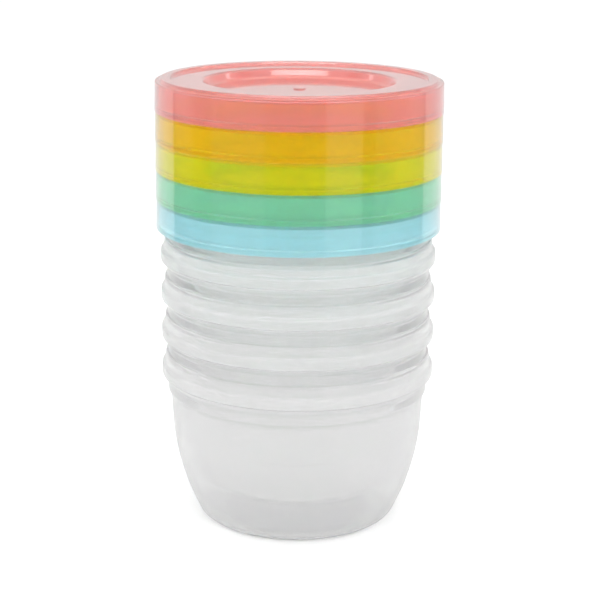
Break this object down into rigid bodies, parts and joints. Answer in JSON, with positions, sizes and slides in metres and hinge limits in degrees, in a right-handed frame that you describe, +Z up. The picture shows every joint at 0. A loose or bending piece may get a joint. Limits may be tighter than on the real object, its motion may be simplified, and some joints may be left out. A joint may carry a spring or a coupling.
{
  "type": "snap lid food container set",
  "caption": "Round clear food bowls nested in a stack, with translucent coloured snap lids stacked on the top bowl; every bowl and lid lifts off.",
  "frame": {"origin": "on the common axis of all bowls and lids, at the foot of the bottom bowl", "axes": "+Z up along the axis of the stack; X and Y are free, because every piece is round"},
  "size_m": [0.1, 0.1, 0.1581],
  "materials": {
    "clear_bowl": "milky clear polypropylene, smooth moulded gloss",
    "blue_lid": "translucent blue polypropylene, smooth moulded gloss",
    "green_lid": "translucent green polypropylene, smooth moulded gloss",
    "yellow_lid": "translucent yellow polypropylene, smooth moulded gloss",
    "orange_lid": "translucent orange polypropylene, smooth moulded gloss",
    "red_lid": "translucent red polypropylene, smooth moulded gloss"
  },
  "bodies": {
    "bottom_bowl": {"bottom_bowl": "clear_bowl"},
    "second_bowl": {"second_bowl": "clear_bowl"},
    "third_bowl": {"third_bowl": "clear_bowl"},
    "fourth_bowl": {"fourth_bowl": "clear_bowl"},
    "top_bowl": {"top_bowl": "clear_bowl"},
    "blue_lid": {"blue_lid": "blue_lid"},
    "green_lid": {"green_lid": "green_lid"},
    "yellow_lid": {"yellow_lid": "yellow_lid"},
    "orange_lid": {"orange_lid": "orange_lid"},
    "red_lid": {"red_lid": "red_lid"}
  },
  "joints": [
    {"name": "second_bowl_lift", "type": "slide", "parent": "bottom_bowl", "child": "second_bowl", "axis": [0, 0, 1], "range_m": [0, 0.055]},
    {"name": "third_bowl_lift", "type": "slide", "parent": "second_bowl", "child": "third_bowl", "axis": [0, 0, 1], "range_m": [0, 0.055]},
    {"name": "fourth_bowl_lift", "type": "slide", "parent": "third_bowl", "child": "fourth_bowl", "axis": [0, 0, 1], "range_m": [0, 0.055]},
    {"name": "top_bowl_lift", "type": "slide", "parent": "fourth_bowl", "child": "top_bowl", "axis": [0, 0, 1], "range_m": [0, 0.055]},
    {"name": "blue_lid_lift", "type": "slide", "parent": "top_bowl", "child": "blue_lid", "axis": [0, 0, 1], "range_m": [0, 0.02]},
    {"name": "green_lid_lift", "type": "slide", "parent": "blue_lid", "child": "green_lid", "axis": [0, 0, 1], "range_m": [0, 0.02]},
    {"name": "yellow_lid_lift", "type": "slide", "parent": "green_lid", "child": "yellow_lid", "axis": [0, 0, 1], "range_m": [0, 0.02]},
    {"name": "orange_lid_lift", "type": "slide", "parent": "yellow_lid", "child": "orange_lid", "axis": [0, 0, 1], "range_m": [0, 0.02]},
    {"name": "red_lid_lift", "type": "slide", "parent": "orange_lid", "child": "red_lid", "axis": [0, 0, 1], "range_m": [0, 0.02]}
  ]
}
